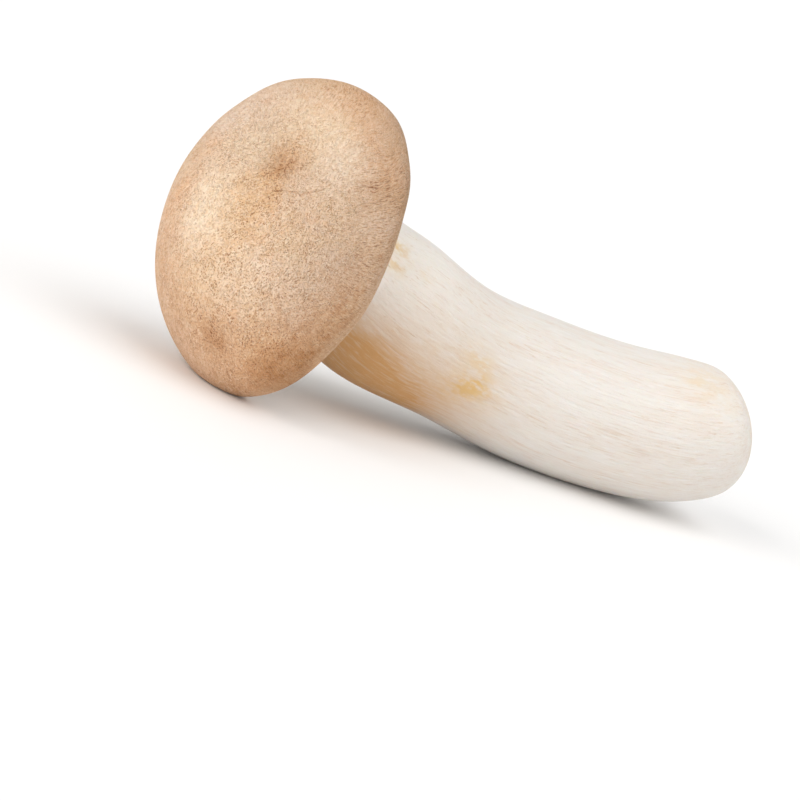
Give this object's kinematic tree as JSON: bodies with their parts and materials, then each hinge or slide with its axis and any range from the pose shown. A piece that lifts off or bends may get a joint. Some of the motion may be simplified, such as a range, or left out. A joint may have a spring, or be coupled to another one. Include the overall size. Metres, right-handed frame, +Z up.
{
  "type": "king oyster mushroom",
  "caption": "Whole fresh king oyster mushroom: thick curved stem with a rounded base, domed tan cap with an inrolled margin, and gills running down the neck.",
  "frame": {"origin": "middle of the bounding box in X and Y, on the surface it lies on", "axes": "+Z up; +X along the mushroom's length, from the cap to the stem's base; +Y across it"},
  "size_m": [0.144, 0.0496, 0.0618],
  "materials": {
    "mushroom_flesh": "matte, fine felted skin, cream stem and tan cap"
  },
  "bodies": {
    "root": {"king_oyster_mushroom": "mushroom_flesh"}
  },
  "joints": []
}
